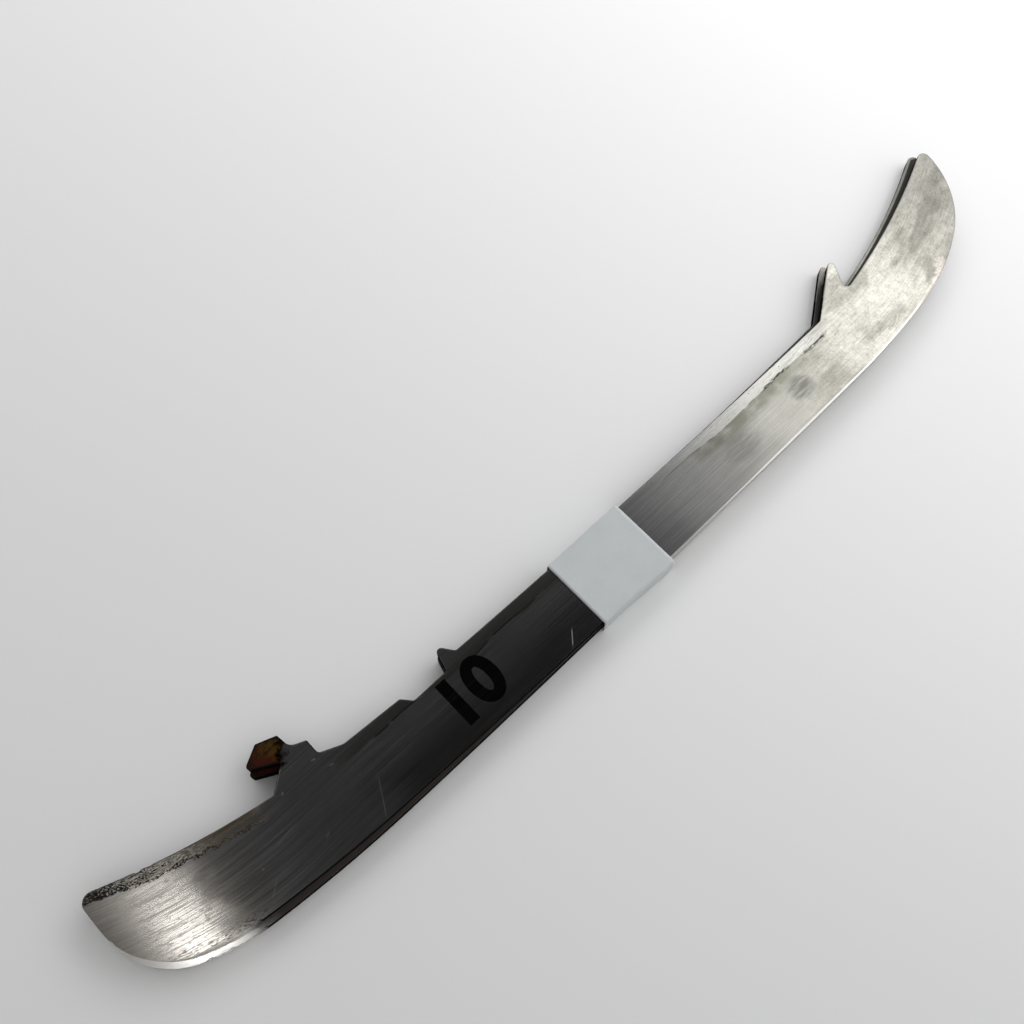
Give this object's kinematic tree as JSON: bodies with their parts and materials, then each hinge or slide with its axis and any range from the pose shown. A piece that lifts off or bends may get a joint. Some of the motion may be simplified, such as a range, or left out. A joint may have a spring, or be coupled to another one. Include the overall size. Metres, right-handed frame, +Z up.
{
  "type": "hockey skate runners in a label band",
  "caption": "Flat steel hockey skate runners with hooked mounting edges, laid face to face and held together by a wrapped paper label band.",
  "frame": {"origin": "middle of the label band's underside, which is what the stack rests on", "axes": "+X along the upper runner towards its toe, +Y from the ice edge towards the edge that the holder takes, +Z up through the stack"},
  "size_m": [0.2978, 0.0377, 0.0069],
  "materials": {
    "runner_steel": "ground along its length, worn, with dull stains",
    "label_paper": "matte white label stock",
    "label_glue": "dried label adhesive"
  },
  "bodies": {
    "lower_runner": {"lower_runner": "runner_steel"},
    "label": {"label_band": "label_paper", "label_adhesive": "label_glue"},
    "upper_runner": {"upper_runner": "runner_steel"}
  },
  "joints": [
    {"name": "label_slide", "type": "slide", "parent": "lower_runner", "child": "label", "axis": [0.9999, 0.0133, 0], "range_m": [-0.024, 0.076]},
    {"name": "runner_fan", "type": "hinge", "parent": "label", "child": "upper_runner", "pos_m": [0, 0, 0.00515], "axis": [0, 0, 1], "range_deg": [-1.5, 1.5]}
  ]
}
